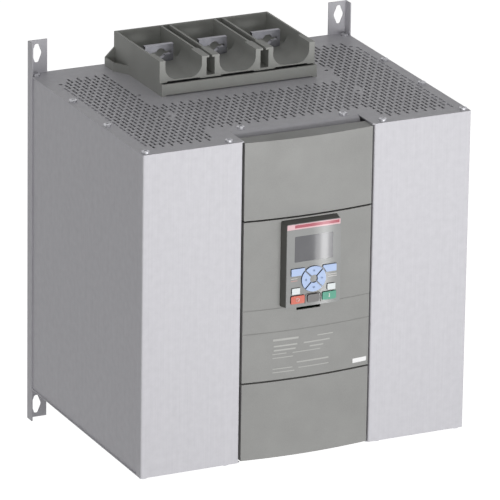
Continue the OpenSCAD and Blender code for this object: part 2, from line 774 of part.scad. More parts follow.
// Fan rotor: a hub on the axle and seven tilted blades.
module fan_rotor(s) color([0.16, 0.16, 0.17]) {
    translate([s * fan_x, -fan_y, fan_top - fan_h + 5]) difference() {
        union() {
            cylinder(d = 40, h = fan_h - 10);
            for (k = [0 : 6]) rotate(k * 360 / 7) intersection() {
                translate([35, 0, (fan_h - 10) / 2]) rotate([40, 0, 0]) cube([40, 26, 2], center = true);
                translate([0, 0, 1]) cylinder(d = fan_s - 10, h = fan_h - 12);
            }
        }
        translate([0, 0, -1]) cylinder(d = axle_d + 2 * axle_gap, h = fan_h);
    }
}

// Control board on the frame plate, with its larger parts.
module control_board() color([0.1, 0.3, 0.2]) {
    w = board_w / 2;
    low = -board_down;
    box([-w, -frame_y - 8, low], [w, -frame_y - 6.4, board_up]);
    for (x = [-w + pillar_in, w - pillar_in], z = [low + pillar_in, board_up - pillar_in])
        translate([x, -frame_y, z]) rotate([90, 0, 0]) cylinder(d = 6, h = 6.5);
    box([-w + 12, -frame_y - 14, low + 14], [-w + 52, -frame_y - 7.9, low + 46]);
    box([w - 62, -frame_y - 12, low + 20], [w - 32, -frame_y - 7.9, low + 50]);
    translate([w - 14, -frame_y - 7.9, low + 30]) rotate([90, 0, 0]) cylinder(d = 10, h = 9);
}

// Two rows of control terminals behind the lower cover.
module terminal_block() color([0.2, 0.45, 0.3]) {
    w = block_w / 2;
    low = -block_low;
    difference() {
        union() {
            box([-w, -frame_y - block_d, low], [w, -frame_y, low + block_h]);
            box([-w, -frame_y - block_d + 6, low + block_h / 2], [w, -frame_y, low + block_h + 8]);
        }
        for (k = [-6 : 6]) translate([k * terminal_p, -frame_y - block_d, low]) {
            translate([0, 0, 0.75 * block_h]) rotate([90, 0, 0]) cylinder(d = 5, h = 8, center = true);
            translate([0, 5, 0]) cube([6, 6, 10], center = true);
        }
    }
}

// Dark tray of the keypad: it narrows towards the face and is hollow.
module keypad_housing() color([0.26, 0.26, 0.25]) {
    difference() {
        hull() {
            translate([0, 0, pad_z]) plate(pad_seat, pad_seat + 0.5) rrect(pad_w, pad_h, 2.5, $fn = 32);
            translate([0, 0, pad_z]) plate(pad_seat + 8, face_back) rrect(face_w, face_h, 2.5, $fn = 32);
        }
        translate([0, 0, pad_z]) plate(board_y, face_back + 1)
            square([face_w - 6, face_h - 6], center = true);
    }
    translate([0, 0, pad_z]) plate(pad_seat - 6, pad_seat + eps) rrect(plug_w, plug_h, 3);
}

// Outlines of the keys, grown by c where the face is cut for them.
module soft_key_2d(s, c) {
    difference() {
        translate([s * 21.1, pad_z - 8.1]) rrect(17.8 + 2 * c, 9 + 2 * c, 0.8);
        translate([0, ring_z]) circle(r = ring_r + ring_gap - c);
    }
}

module arrow_key_2d(turn, c) {
    translate([0, ring_z]) intersection() {
        difference() {
            circle(r = ring_r + c);
            circle(r = hub_r + 0.8 - c);
        }
        rotate(turn + 45) translate([0.9 - c, 0.9 - c]) square(40);
    }
}

module small_key_2d(s, c) translate([s * 23.6, pad_z - 32]) rrect(10.6 + 2 * c, 7.6 + 2 * c, 0.8);

module run_key_2d(s, c) translate([s * 21, pad_z - 43]) rrect(18 + 2 * c, 10 + 2 * c, 1.6);

module menu_key_2d(c) {
    translate([0, pad_z - 43.6]) rrect(16 + 2 * c, 10 + 2 * c, 3);
}

module all_keys_2d(c) {
    for (s = [-1, 1]) {
        soft_key_2d(s, c);
        small_key_2d(s, c);
        run_key_2d(s, c);
    }
    for (a = [0 : 90 : 270]) arrow_key_2d(a, c);
    menu_key_2d(c);
}

// Key cap over its own outline; the foot behind the face is a little larger than the opening.
module key_cap() {
    plate(face_back - 3.5, pad_front + key_up) children(0);
    plate(face_back - 1.6, face_back - 0.35) children(1);
}

// Grey face plate with the openings for the display and the keys.
module keypad_face() color([0.62, 0.62, 0.62]) {
    plate(face_back, pad_front) difference() {
        translate([0, pad_z]) rrect(face_w, face_h, 2.5);
        translate([0, lcd_z]) rrect(lcd_w, lcd_h, 1);
        all_keys_2d(key_gap);
    }
}

module keypad_board() color([0.1, 0.3, 0.2]) {
    translate([0, 0, pad_z]) plate(board_y, board_y + 1.6) square([face_w - 8, face_h - 8], center = true);
}

module display() color([0.44, 0.44, 0.46]) {
    translate([0, 0, lcd_z]) plate(board_y + 1.6, face_back) square([lcd_w + 4, lcd_h + 4], center = true);
}

module window() color([0.8, 0.82, 0.84]) {
    translate([0, 0, lcd_z]) plate(face_back, pad_front - 0.1) rrect(lcd_w - 0.1, lcd_h - 0.1, 0.95);
}

module soft_key(s) color([0.74, 0.81, 0.95]) key_cap() {
    soft_key_2d(s, 0);
    soft_key_2d(s, 0.7);
}

module arrow_key(turn) color([0.74, 0.81, 0.95]) key_cap() {
    arrow_key_2d(turn, 0);
    arrow_key_2d(turn, 0.7);
}

module small_key(s) color([0.93, 0.93, 0.93]) key_cap() {
    small_key_2d(s, 0);
    small_key_2d(s, 0.7);
}

module run_key(s, c) color(c) key_cap() {
    run_key_2d(s, 0);
    run_key_2d(s, 0.7);
}

module menu_key() color([0.45, 0.45, 0.45]) key_cap() {
    menu_key_2d(0);
    menu_key_2d(0.7);
}

back_tray();
side_wall(-1);  // side_wall_left
side_wall(1);  // side_wall_right
top_sheet();
bottom_sheet();
front_panel(-1);  // front_panel_left
front_panel(1);  // front_panel_right
stiffener(1);  // stiffener_top
stiffener(-1);  // stiffener_bottom
case_screws();
cover_frame();
cover_upper();
cover_middle();
cover_lower();
shroud_line();
shroud_load();
bar(-1, 1);  // line_bar_1
bar(0, 1);  // line_bar_2
bar(1, 1);  // line_bar_3
bar(-1, -1);  // load_bar_1
bar(0, -1);  // load_bar_2
bar(1, -1);  // load_bar_3
bypass(-1);  // bypass_1
bypass(0);  // bypass_2
bypass(1);  // bypass_3
thyristor(-1);  // thyristor_1
thyristor(0);  // thyristor_2
thyristor(1);  // thyristor_3
bus_bolts();
heat_sink(-1);  // heat_sink_1
heat_sink(0);  // heat_sink_2
heat_sink(1);  // heat_sink_3
support_rail(sink_h / 2 - brace_w, sink_h / 2);  // support_rail_upper
support_rail(brace_low, brace_high);  // support_rail_lower
transformer(-1);  // transformer_1
transformer(0);  // transformer_2
transformer(1);  // transformer_3
fan_frame(-1);  // fan_frame_left
fan_frame(1);  // fan_frame_right
fan_rotor(-1);  // fan_rotor_left
fan_rotor(1);  // fan_rotor_right
control_board();
terminal_block();
keypad_housing();
keypad_face();
keypad_board();
display();
window();
soft_key(-1);  // soft_key_left
soft_key(1);  // soft_key_right
arrow_key(0);  // key_up_arrow
arrow_key(90);  // key_left_arrow
arrow_key(180);  // key_down_arrow
arrow_key(270);  // key_right_arrow
small_key(-1);  // info_key
small_key(1);  // remote_key
run_key(-1, [0.85, 0.3, 0.2]);  // stop_key
run_key(1, [0.2, 0.5, 0.36]);  // start_key
menu_key();
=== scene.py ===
import math

import bpy
from mathutils import Matrix, Vector


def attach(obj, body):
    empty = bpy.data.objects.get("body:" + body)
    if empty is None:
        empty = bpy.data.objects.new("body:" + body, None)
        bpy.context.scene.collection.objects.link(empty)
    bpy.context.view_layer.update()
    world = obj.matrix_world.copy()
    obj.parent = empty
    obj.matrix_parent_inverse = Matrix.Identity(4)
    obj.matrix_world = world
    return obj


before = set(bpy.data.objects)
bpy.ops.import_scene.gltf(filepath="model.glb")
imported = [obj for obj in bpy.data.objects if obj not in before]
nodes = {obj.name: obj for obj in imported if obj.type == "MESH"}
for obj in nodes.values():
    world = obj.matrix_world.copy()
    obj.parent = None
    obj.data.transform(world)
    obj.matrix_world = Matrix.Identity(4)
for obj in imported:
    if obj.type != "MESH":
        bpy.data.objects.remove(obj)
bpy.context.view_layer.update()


# Case: back tray, side walls, vented top and bottom sheets and the two front panels.
# Cold-rolled steel sheet with a zinc-aluminium coat, punched and folded, left unpainted.
# The rolling leaves faint upright lines and the coat a soft, cloudy grain.
def linear(hex_colour):
    """sRGB hex to the linear RGBA that the shader sockets take."""
    parts = [int(hex_colour[i:i + 2], 16) / 255 for i in (0, 2, 4)]
    return [c / 12.92 if c <= 0.04045 else ((c + 0.055) / 1.055) ** 2.4 for c in parts] + [1.0]


def wire(tree, kind, values=(), links=(), tones=(), **settings):
    """Adds one node: settings are its properties, values its sockets, links its incoming wires,
    and tones the places and colours of its ramp."""
    node = tree.nodes.new("ShaderNode" + kind)
    for key, value in settings.items():
        setattr(node, key, value)
    for key, value in dict(values).items():
        node.inputs[key].default_value = value
    for key, source in dict(links).items():
        tree.links.new(source, node.inputs[key])
    for number, (position, tone) in enumerate(tones):
        stop = node.color_ramp.elements[number]
        stop.position = position
        stop.color = linear(tone)
    return node


def blank_material(name):
    """A material with an empty node tree and its output."""
    material = bpy.data.materials.new(name)
    material.use_nodes = True
    material.node_tree.nodes.clear()
    return material, material.node_tree, wire(material.node_tree, "OutputMaterial")


def dress(material, *names):
    """Gives CAD nodes their finish."""
    for name in names:
        slots = nodes[name].data.materials
        slots.clear()
        slots.append(material)


LINE_STRETCH = 60


def coated_sheet(name, dark, light, line_mm, cloud_mm):
    """Zinc-aluminium coated sheet: rolling lines along the height, cloudy crystals, a satin sheen."""
    material, tree, out = blank_material(name)
    place = wire(tree, "TexCoord").outputs["Object"]
    # The real lines lie closer together; they are drawn this coarse so that they show.
    across, along = 1000 / line_mm, 1000 / (LINE_STRETCH * line_mm)
    lines_at = wire(tree, "Mapping", {"Scale": (across, across, along)}, {"Vector": place})
    lines = wire(tree, "TexNoise", {"Scale": 1.0, "Detail": 2.0, "Roughness": 0.6},
                 {"Vector": lines_at.outputs[0]})
    clouds = wire(tree, "TexNoise", {"Scale": 1000 / cloud_mm, "Detail": 4.0, "Roughness": 0.55},
                  {"Vector": place})
    mixed = wire(tree, "Mix", {"Factor": 0.6}, {"A": lines.outputs["Fac"], "B": clouds.outputs["Fac"]})
    tone = wire(tree, "ValToRGB", (), {"Fac": mixed.outputs[0]}, ((0.3, dark), (0.7, light)))
    gloss = wire(tree, "MapRange", {"From Min": 0.3, "From Max": 0.7, "To Min": 0.5, "To Max": 0.38},
                 {"Value": mixed.outputs[0]})
    relief = wire(tree, "Bump", {"Strength": 0.05, "Distance": 0.0002}, {"Height": lines.outputs["Fac"]})
    shader = wire(tree, "BsdfPrincipled", {"Specular IOR Level": 0.2},
                  {"Base Color": tone.outputs[0], "Roughness": gloss.outputs[0],
                   "Normal": relief.outputs[0]})
    tree.links.new(shader.outputs[0], out.inputs["Surface"])
    return material


case_sheet = coated_sheet("zinc_aluminium_coated_sheet", "CBCACF", "D5D4D9", line_mm=1.6, cloud_mm=9)
dress(case_sheet, "back_tray", "side_wall_left", "side_wall_right", "top_sheet", "bottom_sheet")
# The front panels take a copy of the same sheet, a little lighter: painted light on the front-facing
# panels.
front_sheet_painted_lighter = coated_sheet("zinc_aluminium_coated_front", "CDCCD1", "D7D6DB", line_mm=1.6, cloud_mm=9)
dress(front_sheet_painted_lighter, "front_panel_left", "front_panel_right")
plain_sheet = coated_sheet("galvanised_inner_sheet", "8A8A8E", "A2A2A6", line_mm=2.0, cloud_mm=14)
dress(plain_sheet, "stiffener_top", "stiffener_bottom", "cover_frame",
      "support_rail_upper", "support_rail_lower")


# Webs across the vent slots: each slot is punched as two short ones, and the narrow bridge between
# them is the coated vent sheet itself, with the slight edge rounding that the punch leaves.
# One web is repeated over the field of slots, and the webs that meet no slot are taken out.
MM = 0.001
SLOT_STEP, SLOT_PITCH, FIRST_COLUMN, FIRST_ROW = 12.0, 20.48, -199.0, -46.7
COLUMNS, ROWS, SHEET_MID = 34, 14, 203.9
WEB_WIDE, WEB_LONG, WEB_THICK, PUNCHED_EDGE = 3.2, 1.4, 1.0, 0.15
ALONG_SLOT, ACROSS_SLOT, ABOVE_SHEET = 4.0, 2.6, 2.0


def finish_piece(piece, name, material, body):
    """Applies the place, sets finish and name, and ties the piece to its body."""
    bpy.ops.object.select_all(action="DESELECT")
    bpy.context.view_layer.objects.active = piece
    piece.select_set(True)
    bpy.ops.object.transform_apply(location=True, rotation=True, scale=True)
    piece.name = piece.data.name = name
    piece.data.materials.clear()
    piece.data.materials.append(material)
    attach(piece, body)


def join_pieces(pieces):
    """Joins like pieces into the first one."""
    bpy.ops.object.select_all(action="DESELECT")
    for piece in pieces:
        piece.select_set(True)
    bpy.context.view_layer.objects.active = pieces[0]
    bpy.ops.object.join()
    return pieces[0]


def is_open(sheet, x, y, z):
    """Whether the sheet is open at a place, seen from just outside it."""
    aim = -1 if z > 0 else 1
    start = (x * MM, y * MM, (z - ABOVE_SHEET * aim) * MM)
    return not sheet.ray_cast(start, (0, 0, aim), distance=2 * ABOVE_SHEET * MM)[0]


def in_slot(sheet, x, y, z):
    """Whether a place is the middle of a slot: open before and behind it, sheet on both sides."""
    return (is_open(sheet, x, y - ALONG_SLOT, z) and is_open(sheet, x, y + ALONG_SLOT, z)
            and not is_open(sheet, x - ACROSS_SLOT, y, z) and not is_open(sheet, x + ACROSS_SLOT, y, z))


def slot_webs(sheet, z, first_x, first_y):
    """A bridge across the middle of each slot in every other column of a vent sheet."""
    bpy.ops.object.select_all(action="DESELECT")
    bpy.ops.mesh.primitive_cube_add(size=1, location=(first_x * MM, first_y * MM, z * MM))
    webs = bpy.context.object
    webs.scale = (WEB_WIDE * MM, WEB_LONG * MM, WEB_THICK * MM)
    bpy.ops.object.transform_apply(location=True, rotation=True, scale=True)
    punched = webs.modifiers.new("punched_edge", "BEVEL")
    punched.width = PUNCHED_EDGE * MM
    bpy.ops.object.modifier_apply(modifier=punched.name)
    for count, offset in ((COLUMNS, (SLOT_STEP * MM, 0, 0)), (ROWS, (0, -SLOT_PITCH * MM, 0))):
        row = webs.modifiers.new("row", "ARRAY")
        row.count = count
        row.use_relative_offset = False
        row.use_constant_offset = True
        row.constant_offset_displace = offset
        bpy.ops.object.modifier_apply(modifier=row.name)
    bpy.ops.object.mode_set(mode="EDIT")
    bpy.ops.mesh.select_all(action="DESELECT")
    bpy.ops.object.mode_set(mode="OBJECT")
    for corner in webs.data.vertices:
        x = first_x + SLOT_STEP * round((corner.co.x / MM - first_x) / SLOT_STEP)
        y = first_y - SLOT_PITCH * round((first_y - corner.co.y / MM) / SLOT_PITCH)
        corner.select = not in_slot(sheet, x, y, z)
    bpy.ops.object.mode_set(mode="EDIT")
    bpy.ops.mesh.delete(type="VERT")
    bpy.ops.object.mode_set(mode="OBJECT")
    return webs


for name, z in (("top", SHEET_MID), ("bottom", -SHEET_MID)):
    sheet = nodes[f"{name}_sheet"]
    finish_piece(join_pieces([slot_webs(sheet, z, FIRST_COLUMN, FIRST_ROW - SLOT_PITCH / 2),
                              slot_webs(sheet, z, FIRST_COLUMN + SLOT_STEP / 2, FIRST_ROW)]),
                 f"{name}_slot_webs", case_sheet, "case")


# Case screws and the bolts of the power path: cold-headed steel with bright zinc plate.
# Tumbling in the bath leaves a satin plate with a slightly uneven polish and a soft highlight.
def plated_metal(name, dark, light, cloud_mm, smooth, rough):
    """Plated or bare metal with a cloudy polish."""
    material, tree, out = blank_material(name)
    place = wire(tree, "TexCoord").outputs["Object"]
    clouds = wire(tree, "TexNoise", {"Scale": 1000 / cloud_mm, "Detail": 3.0}, {"Vector": place})
    tone = wire(tree, "ValToRGB", (), {"Fac": clouds.outputs["Fac"]}, ((0.3, dark), (0.7, light)))
    gloss = wire(tree, "MapRange", {"From Min": 0.3, "From Max": 0.7, "To Min": smooth, "To Max": rough},
                 {"Value": clouds.outputs["Fac"]})
    shader = wire(tree, "BsdfPrincipled", {"Metallic": 1.0},
                  {"Base Color": tone.outputs[0], "Roughness": gloss.outputs[0]})
    tree.links.new(shader.outputs[0], out.inputs["Surface"])
    return material


dress(plated_metal("bright_zinc_plate", "ACACB0", "CACACE", cloud_mm=3, smooth=0.44, rough=0.58),
      "case_screws", "bus_bolts")


# Power path inside the case: bars of tin-plated copper, extruded aluminium heat sinks,
# bypass units, thyristor modules and transformers in dark moulded housings, and two fans.
dress(plated_metal("tin_plated_copper", "808086", "909096", cloud_mm=9, smooth=0.42, rough=0.5),
      "line_bar_1", "line_bar_2", "line_bar_3", "load_bar_1", "load_bar_2", "load_bar_3")
dress(plated_metal("extruded_aluminium", "9C9CA0", "BEBEC2", cloud_mm=4, smooth=0.4, rough=0.55),
      "heat_sink_1", "heat_sink_2", "heat_sink_3")
GRAINS_PER_CLOUD = 40


def moulded_plastic(name, dark, light, grain_mm, roughness, coat=0.0):
    """Injection-moulded plastic: a spark-eroded grain in its surface and a faint uneven tone."""
    material, tree, out = blank_material(name)
    place = wire(tree, "TexCoord").outputs["Object"]
    # The real grain is finer; it is drawn this coarse so that it shows.
    grain = wire(tree, "TexNoise", {"Scale": 1000 / grain_mm, "Detail": 2.0, "Roughness": 0.6},
                 {"Vector": place})
    clouds = wire(tree, "TexNoise", {"Scale": 1000 / (GRAINS_PER_CLOUD * grain_mm), "Detail": 3.0},
                  {"Vector": place})
    mixed = wire(tree, "Mix", {"Factor": 0.5}, {"A": grain.outputs["Fac"], "B": clouds.outputs["Fac"]})
    tone = wire(tree, "ValToRGB", (), {"Fac": mixed.outputs[0]}, ((0.35, dark), (0.65, light)))
    gloss = wire(tree, "MapRange", {"From Min": 0.35, "From Max": 0.65, "To Min": roughness + 0.05,
                                    "To Max": roughness - 0.05}, {"Value": mixed.outputs[0]})
    relief = wire(tree, "Bump", {"Strength": 0.08, "Distance": 0.0002}, {"Height": grain.outputs["Fac"]})
    shader = wire(tree, "BsdfPrincipled",
                  {"Specular IOR Level": 0.35, "Coat Weight": coat, "Coat Roughness": 0.05},
                  {"Base Color": tone.outputs[0], "Roughness": gloss.outputs[0],
                   "Normal": relief.outputs[0]})
    tree.links.new(shader.outputs[0], out.inputs["Surface"])
    return material


dress(moulded_plastic("glass_filled_polyamide", "2A2A2C", "343436", grain_mm=0.8, roughness=0.55),
      *[f"{piece}_{phase}" for piece in ("bypass", "thyristor", "transformer") for phase in (1, 2, 3)])
dress(moulded_plastic("black_fan_polyester", "1C1C1E", "262628", grain_mm=0.8, roughness=0.5),
      "fan_frame_left", "fan_frame_right", "fan_rotor_left", "fan_rotor_right")


# Terminal shrouds above and below the case: one moulding each, with three open bays.
# Grey polyamide with a fine spark-eroded grain, screwed to the vent sheets by its foot lugs.
dress(moulded_plastic("grey_polyamide_shroud", "9A9B97", "A3A4A0", grain_mm=0.9, roughness=0.55),
      "shroud_line", "shroud_load")


# Control board and control terminals behind the covers: glass-epoxy board with green
# solder mask, and a green moulded terminal strip soldered to it.
def solder_mask(name, dark, light, patch_mm):
    """Lacquered circuit board: the copper under the lacquer shows as lighter patches."""
    material, tree, out = blank_material(name)
    place = wire(tree, "TexCoord").outputs["Object"]
    copper = wire(tree, "TexVoronoi", {"Scale": 1000 / patch_mm}, {"Vector": place},
                  distance="MANHATTAN", feature="F1")
    tone = wire(tree, "ValToRGB", (), {"Fac": copper.outputs["Distance"]}, ((0.35, light), (0.5, dark)))
    shader = wire(tree, "BsdfPrincipled", {"Roughness": 0.3}, {"Base Color": tone.outputs[0]})
    tree.links.new(shader.outputs[0], out.inputs["Surface"])
    return material


dress(solder_mask("green_solder_mask", "12402A", "1F5A3C", patch_mm=6), "control_board", "keypad_board")
dress(moulded_plastic("green_terminal_polyamide", "2C7048", "3A8456", grain_mm=0.8, roughness=0.5),
      "terminal_block")


# Covers over the control part: three bowed mouldings clipped to the frame plate.
# Grey polycarbonate blend with a fine spark-eroded grain; the middle one seats the keypad.
dress(moulded_plastic("grey_polycarbonate_cover", "929290", "9B9B99", grain_mm=0.9, roughness=0.5),
      "cover_upper", "cover_middle", "cover_lower")


# Print and label on the middle cover: rows of plain fields in pale ink, screen-printed, and a plain
# white film label, stuck on. Both lie on the bowed face and follow its curve.
BEFORE_COVER = -352
FILM, FILM_GAP, STRIPS = 0.1, 0.05, 4


def front_plane(x, y, z, wide, high):
    """A plane that looks towards the front, with its size and place applied, left in object mode."""
    bpy.ops.object.select_all(action="DESELECT")
    bpy.ops.mesh.primitive_plane_add(size=1, location=(x * MM, y * MM, z * MM),
                                     rotation=(math.pi / 2, 0, 0))
    piece = bpy.context.object
    piece.scale = (wide * MM, high * MM, 1)
    bpy.ops.object.transform_apply(location=True, rotation=True, scale=True)
    return piece


def lay_on_cover(x0, x1, z, high, corner):
    """A film field on the bowed cover: rounded, cut into strips, projected back and thickened."""
    field = front_plane((x0 + x1) / 2, BEFORE_COVER, z, x1 - x0, high)
    bpy.ops.object.mode_set(mode="EDIT")
    bpy.ops.mesh.select_all(action="SELECT")
    bpy.ops.mesh.bevel(offset=corner * MM, segments=3, affect="VERTICES")
    for step in range(1, STRIPS):
        bpy.ops.mesh.select_all(action="SELECT")
        bpy.ops.mesh.bisect(plane_co=((x0 + (x1 - x0) * step / STRIPS) * MM, 0, 0), plane_no=(1, 0, 0))
    bpy.ops.object.mode_set(mode="OBJECT")
    wrap = field.modifiers.new("onto_cover", "SHRINKWRAP")
    wrap.target = nodes["cover_middle"]
    wrap.wrap_method = "PROJECT"
    wrap.use_project_y = True
    wrap.use_negative_direction = True
    wrap.use_positive_direction = True
    wrap.offset = FILM_GAP * MM
    bpy.ops.object.modifier_apply(modifier=wrap.name)
    film = field.modifiers.new("film", "SOLIDIFY")
    film.thickness = FILM * MM
    film.offset = 1.0
    bpy.ops.object.modifier_apply(modifier=film.name)
    return field


PRINT_CORNER = 0.3
LABEL_LEFT, LABEL_RIGHT, LABEL_Z, LABEL_HIGH, LABEL_CORNER = 62.5, 82.0, -94.0, 5.6, 0.6
# Left end, right end, middle and height of each field
PRINT_ROWS = [
    (-45.7, -12.5, -51.2, 2.6), (12.8, 34.2, -52.0, 1.2), (-44.7, -14.0, -59.2, 1.8),
    (-5.3, 29.6, -59.0, 1.6), (-44.7, -16.2, -64.5, 1.8), (2.7, 21.0, -64.5, 1.6),
    (-46.2, -28.0, -69.2, 1.0), (-20.0, 17.0, -69.6, 1.0), (-46.1, -19.2, -74.2, 1.0),
    (-14.3, 28.5, -82.8, 1.6), (-45.8, -20.0, -88.2, 1.0), (-12.0, 28.7, -90.0, 1.0),
    (-45.8, -17.3, -92.8, 1.0)]
ink = moulded_plastic("pale_grey_ink", "B4B4B1", "BCBCB9", grain_mm=0.6, roughness=0.5)
finish_piece(join_pieces([lay_on_cover(*row, PRINT_CORNER) for row in PRINT_ROWS]),
             "rating_print", ink, "case")
label_film = moulded_plastic("white_label_film", "F4F4F4", "FBFBFB", grain_mm=0.6, roughness=0.35)
finish_piece(lay_on_cover(LABEL_LEFT, LABEL_RIGHT, LABEL_Z, LABEL_HIGH, LABEL_CORNER),
             "white_label", label_film, "case")


# Keypad: a dark tray that clips into the middle cover, with a printed face plate over it.
# Tray and face are moulded; the face carries a glossy film over its grey print.
dress(moulded_plastic("dark_grey_tray", "565652", "5E5E5A", grain_mm=0.8, roughness=0.5), "keypad_housing")
film_grey = moulded_plastic("glossy_grey_film", "898A89", "909190", grain_mm=0.6, roughness=0.4, coat=1.0)
dress(film_grey, "keypad_face")


# Stripe across the top of the keypad: a pale pink strip with a plain red field that stands
# slightly proud of it. Glossy moulded plastic, glued on the face, the edges rounded.
def pull_out(piece, stand, edge):
    """Pulls a flat outline out towards the front and rounds its front edge."""
    bpy.context.view_layer.objects.active = piece
    bpy.ops.object.mode_set(mode="EDIT")
    bpy.ops.mesh.select_all(action="SELECT")
    bpy.ops.mesh.extrude_region_move(TRANSFORM_OT_translate={"value": (0, -stand * MM, 0)})
    bpy.ops.mesh.select_all(action="SELECT")
    bpy.ops.mesh.normals_make_consistent(inside=False)
    bpy.ops.object.mode_set(mode="OBJECT")
    soften = piece.modifiers.new("rounded_edge", "BEVEL")
    soften.width = edge * MM
    soften.segments = 2
    soften.limit_method = "ANGLE"
    bpy.ops.object.modifier_apply(modifier=soften.name)
    return piece


def rounded_plane(x, y, z, wide, high, corner):
    """A front-facing plane with round corners."""
    piece = front_plane(x, y, z, wide, high)
    bpy.ops.object.mode_set(mode="EDIT")
    bpy.ops.mesh.select_all(action="SELECT")
    bpy.ops.mesh.bevel(offset=corner * MM, segments=5, affect="VERTICES")
    bpy.ops.object.mode_set(mode="OBJECT")
    return piece


FACE_Y = -359.5
STRIPE_X, STRIPE_Z, STRIPE_WIDE, STRIPE_HIGH = -0.6, 94.8, 70.6, 6.6
STRIPE_CORNER, STRIPE_STAND, STRIPE_EDGE = 0.8, 0.4, 0.15
FIELD_X, FIELD_Z, FIELD_WIDE, FIELD_HIGH = 3.7, 95.2, 59.0, 3.8
FIELD_CORNER, FIELD_FOOT, FIELD_STAND, FIELD_EDGE = 0.4, 0.3, 0.25, 0.08
pale_strip = moulded_plastic("pale_pink_strip", "DDB4B9", "E4BEC3", grain_mm=0.8, roughness=0.35, coat=1.0)
stripe = rounded_plane(STRIPE_X, FACE_Y, STRIPE_Z, STRIPE_WIDE, STRIPE_HIGH, STRIPE_CORNER)
finish_piece(pull_out(stripe, STRIPE_STAND, STRIPE_EDGE),
             "keypad_stripe", pale_strip, "keypad")
red_field = moulded_plastic("red_strip_field", "A84756", "B25362", grain_mm=0.8, roughness=0.35, coat=1.0)
field = rounded_plane(FIELD_X, FACE_Y - FIELD_FOOT, FIELD_Z, FIELD_WIDE, FIELD_HIGH, FIELD_CORNER)
finish_piece(pull_out(field, FIELD_STAND, FIELD_EDGE),
             "stripe_field", red_field, "keypad")


# Display: a liquid-crystal panel behind a window set flush into the face. The window is tinted
# so dark that it is made opaque here, and its hard coat gives sharp reflections.
dress(moulded_plastic("unlit_liquid_crystal", "68686C", "6E6E72", grain_mm=0.5, roughness=0.3), "display")
WAVE_MM = 12.0
window_glass, tree, out = blank_material("hard_coated_window")
place = wire(tree, "TexCoord").outputs["Object"]
waves = wire(tree, "TexNoise", {"Scale": 1000 / WAVE_MM, "Detail": 2.0}, {"Vector": place})
gloss = wire(tree, "MapRange", {"To Min": 0.03, "To Max": 0.07}, {"Value": waves.outputs["Fac"]})
tint = wire(tree, "ValToRGB", (), {"Fac": waves.outputs["Fac"]}, ((0.0, "535357"), (1.0, "5B5B5F")))
shader = wire(tree, "BsdfPrincipled", {"IOR": 1.5, "Coat Weight": 1.0, "Coat Roughness": 0.03},
              {"Base Color": tint.outputs[0], "Roughness": gloss.outputs[0]})
tree.links.new(shader.outputs[0], out.inputs["Surface"])
dress(window_glass, "window")


# Keys: caps that stand through the face plate, in front of the keypad's board. The front is satin
#  polycarbonate in pale blue, white, red, green or grey; the sides are painted dark, as painted shade.
FRONT_TURN = -0.7


def key_with_painted_side_shade(name, dark, light, side_shade, *keys):
    """Moulded cap whose sides are painted darker, as painted shade."""
    material = moulded_plastic(name, dark, light, grain_mm=0.5, roughness=0.4)
    tree = material.node_tree
    shader = next(node for node in tree.nodes if node.type == "BSDF_PRINCIPLED")
    front = shader.inputs["Base Color"].links[0].from_socket
    # Faces not turned to the front get the dark side colour: painted shade.
    facing = wire(tree, "SeparateXYZ", (), {0: wire(tree, "NewGeometry").outputs["True Normal"]})
    side = wire(tree, "Math", {1: FRONT_TURN}, {0: facing.outputs["Y"]}, operation="GREATER_THAN")
    side_shade_mix = wire(tree, "Mix", {"B": linear(side_shade)}, {"Factor": side.outputs[0], "A": front},
                data_type="RGBA")
    tree.links.new(side_shade_mix.outputs["Result"], shader.inputs["Base Color"])
    dress(material, *keys)


# The last colour given for each key is the painted shade of its sides.
key_with_painted_side_shade("pale_blue_key", "B0C4EA", "BED0F0", "4A5268", "soft_key_left", "soft_key_right",
             "key_up_arrow", "key_right_arrow", "key_down_arrow", "key_left_arrow")
key_with_painted_side_shade("white_key", "E0E6E7", "EAF0F1", "6A6A6C", "info_key", "remote_key")
key_with_painted_side_shade("red_key", "D37263", "DD8071", "6E2A20", "stop_key")
key_with_painted_side_shade("green_key", "60A28C", "6EB09A", "1C4436", "start_key")
key_with_painted_side_shade("grey_key", "787676", "848282", "3E3C3C", "menu_key")


# Arrow symbols: plain triangles with softened corners on the four keys of the ring.
# Blue-grey ink, pad-printed on the caps, so each one rides on its cap.
INK, CAP_FRONT = 0.05, -361.1
KEY_Y = CAP_FRONT + INK
RING_Z, RING_R, ARROW_R, ARROW_CORNER = 26.4, 10.6, 1.9, 0.3


def pad_print(piece, name, material, body):
    """Thickens a flat outline into a printed mark that lies on a cap."""
    film = piece.modifiers.new("ink", "SOLIDIFY")
    film.thickness = INK * MM
    film.offset = 1.0
    bpy.context.view_layer.objects.active = piece
    bpy.ops.object.modifier_apply(modifier=film.name)
    finish_piece(piece, name, material, body)


blue_ink = moulded_plastic("blue_grey_ink", "8FA4CC", "98ADD4", grain_mm=0.4, roughness=0.45)
for name, turn in (("up", 0), ("left", 90), ("down", 180), ("right", 270)):
    bpy.ops.object.select_all(action="DESELECT")
    angle = math.radians(turn + 90)
    spot = (RING_R * math.cos(angle) * MM, KEY_Y * MM, (RING_Z + RING_R * math.sin(angle)) * MM)
    bpy.ops.mesh.primitive_circle_add(vertices=3, radius=ARROW_R * MM, fill_type="NGON", location=spot,
                                      rotation=(math.pi / 2, -math.radians(turn), 0))
    mark = bpy.context.object
    bpy.ops.object.transform_apply(location=True, rotation=True, scale=True)
    bpy.ops.object.mode_set(mode="EDIT")
    bpy.ops.mesh.select_all(action="SELECT")
    bpy.ops.mesh.bevel(offset=ARROW_CORNER * MM, segments=2, affect="VERTICES")
    bpy.ops.object.mode_set(mode="OBJECT")
    pad_print(mark, f"{name}_arrow_mark", blue_ink, f"key_{name}_arrow_cap")


